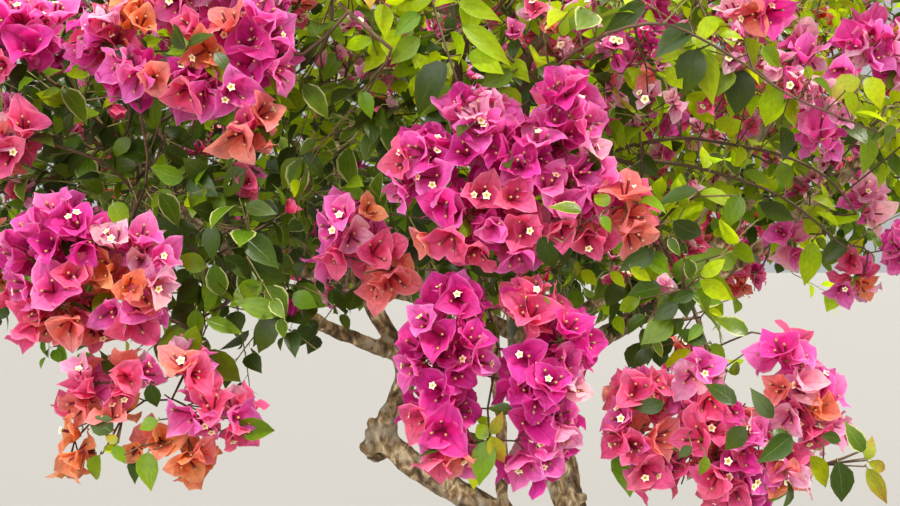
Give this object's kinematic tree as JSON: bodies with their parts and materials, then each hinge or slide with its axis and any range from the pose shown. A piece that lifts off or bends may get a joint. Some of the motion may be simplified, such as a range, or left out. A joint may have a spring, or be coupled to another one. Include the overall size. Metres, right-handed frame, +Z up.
{
  "type": "bougainvillea bush",
  "caption": "Bougainvillea bush rooted in the ground: a short gnarled trunk that forks into bent stems, with a wide leafy crown and flowering sprays hanging round its rim.",
  "frame": {"origin": "centre of the flat cut under the trunk, at ground level", "axes": "+Z up along the growth, -Y towards the front, where the flowering sprays hang lowest, +X to the plant's right as seen from the front"},
  "size_m": [2.067, 1.6203, 1.9284],
  "materials": {
    "bark": "rough grey-brown bark",
    "foliage": "glossy green leaves",
    "blossom": "papery magenta, pink and coral bracts"
  },
  "bodies": {
    "root": {"crown_middle": "foliage", "crown_front": "foliage", "crown_front_left": "foliage", "crown_left": "foliage", "crown_back_left": "foliage", "crown_back": "foliage", "crown_back_right": "foliage", "crown_right": "foliage", "crown_front_right": "foliage", "top_left": "foliage", "top_middle": "foliage", "top_right": "foliage", "spray_front_high": "blossom", "spray_front_low": "blossom", "spray_front_small": "blossom", "spray_left_leafy": "blossom", "spray_left_high": "blossom", "spray_left_middle": "blossom", "spray_left_low": "blossom", "spray_far_left": "blossom", "spray_right_leafy": "blossom", "spray_right_low": "blossom", "spray_right_high": "blossom", "spray_right_drooping": "blossom", "rim_spray_1": "blossom", "rim_spray_2": "blossom", "rim_spray_3": "blossom", "rim_spray_4": "blossom", "rim_spray_5": "blossom", "rim_spray_6": "blossom", "rim_spray_7": "blossom", "rim_spray_8": "blossom", "crest_spray_1": "blossom", "crest_spray_2": "blossom", "crest_spray_3": "blossom", "crest_spray_4": "blossom", "trunk": "bark", "stem_left_lower": "bark", "stem_left_upper": "bark", "stem_right": "bark", "stem_middle": "bark", "stem_rear": "bark", "bough_left": "bark", "bough_left_rising": "bark", "bough_front": "bark", "bough_far_left": "bark", "bough_back_left": "bark", "bough_back": "bark", "bough_back_right": "bark", "bough_right": "bark", "bough_right_front": "bark", "cane_right_hanging": "bark"}
  },
  "joints": []
}
